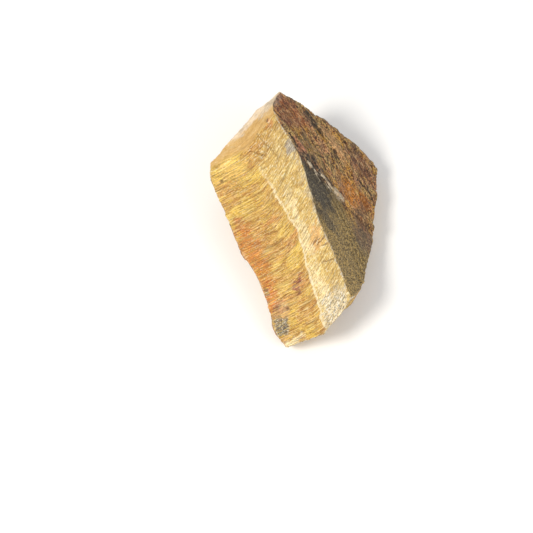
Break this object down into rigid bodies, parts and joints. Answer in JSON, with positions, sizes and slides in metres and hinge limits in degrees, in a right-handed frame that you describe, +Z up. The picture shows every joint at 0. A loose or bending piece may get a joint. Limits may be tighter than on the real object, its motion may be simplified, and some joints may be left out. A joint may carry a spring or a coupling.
{
  "type": "rough tigers eye",
  "caption": "Rough broken lump of fibrous golden-brown quartz, wedge shaped, that rests on a flat broken underside.",
  "frame": {"origin": "centre of the bounding box in plan, at the height of the underside", "axes": "+Z up from the underside, +Y along the seam's length in plan towards the high end, +X across the stone towards the dark seam wall"},
  "size_m": [0.0425, 0.0624, 0.0252],
  "materials": {
    "raw_tigers_eye": "broken and unpolished, silky along the fibres"
  },
  "bodies": {
    "root": {"tigers_eye_stone": "raw_tigers_eye"}
  },
  "joints": []
}
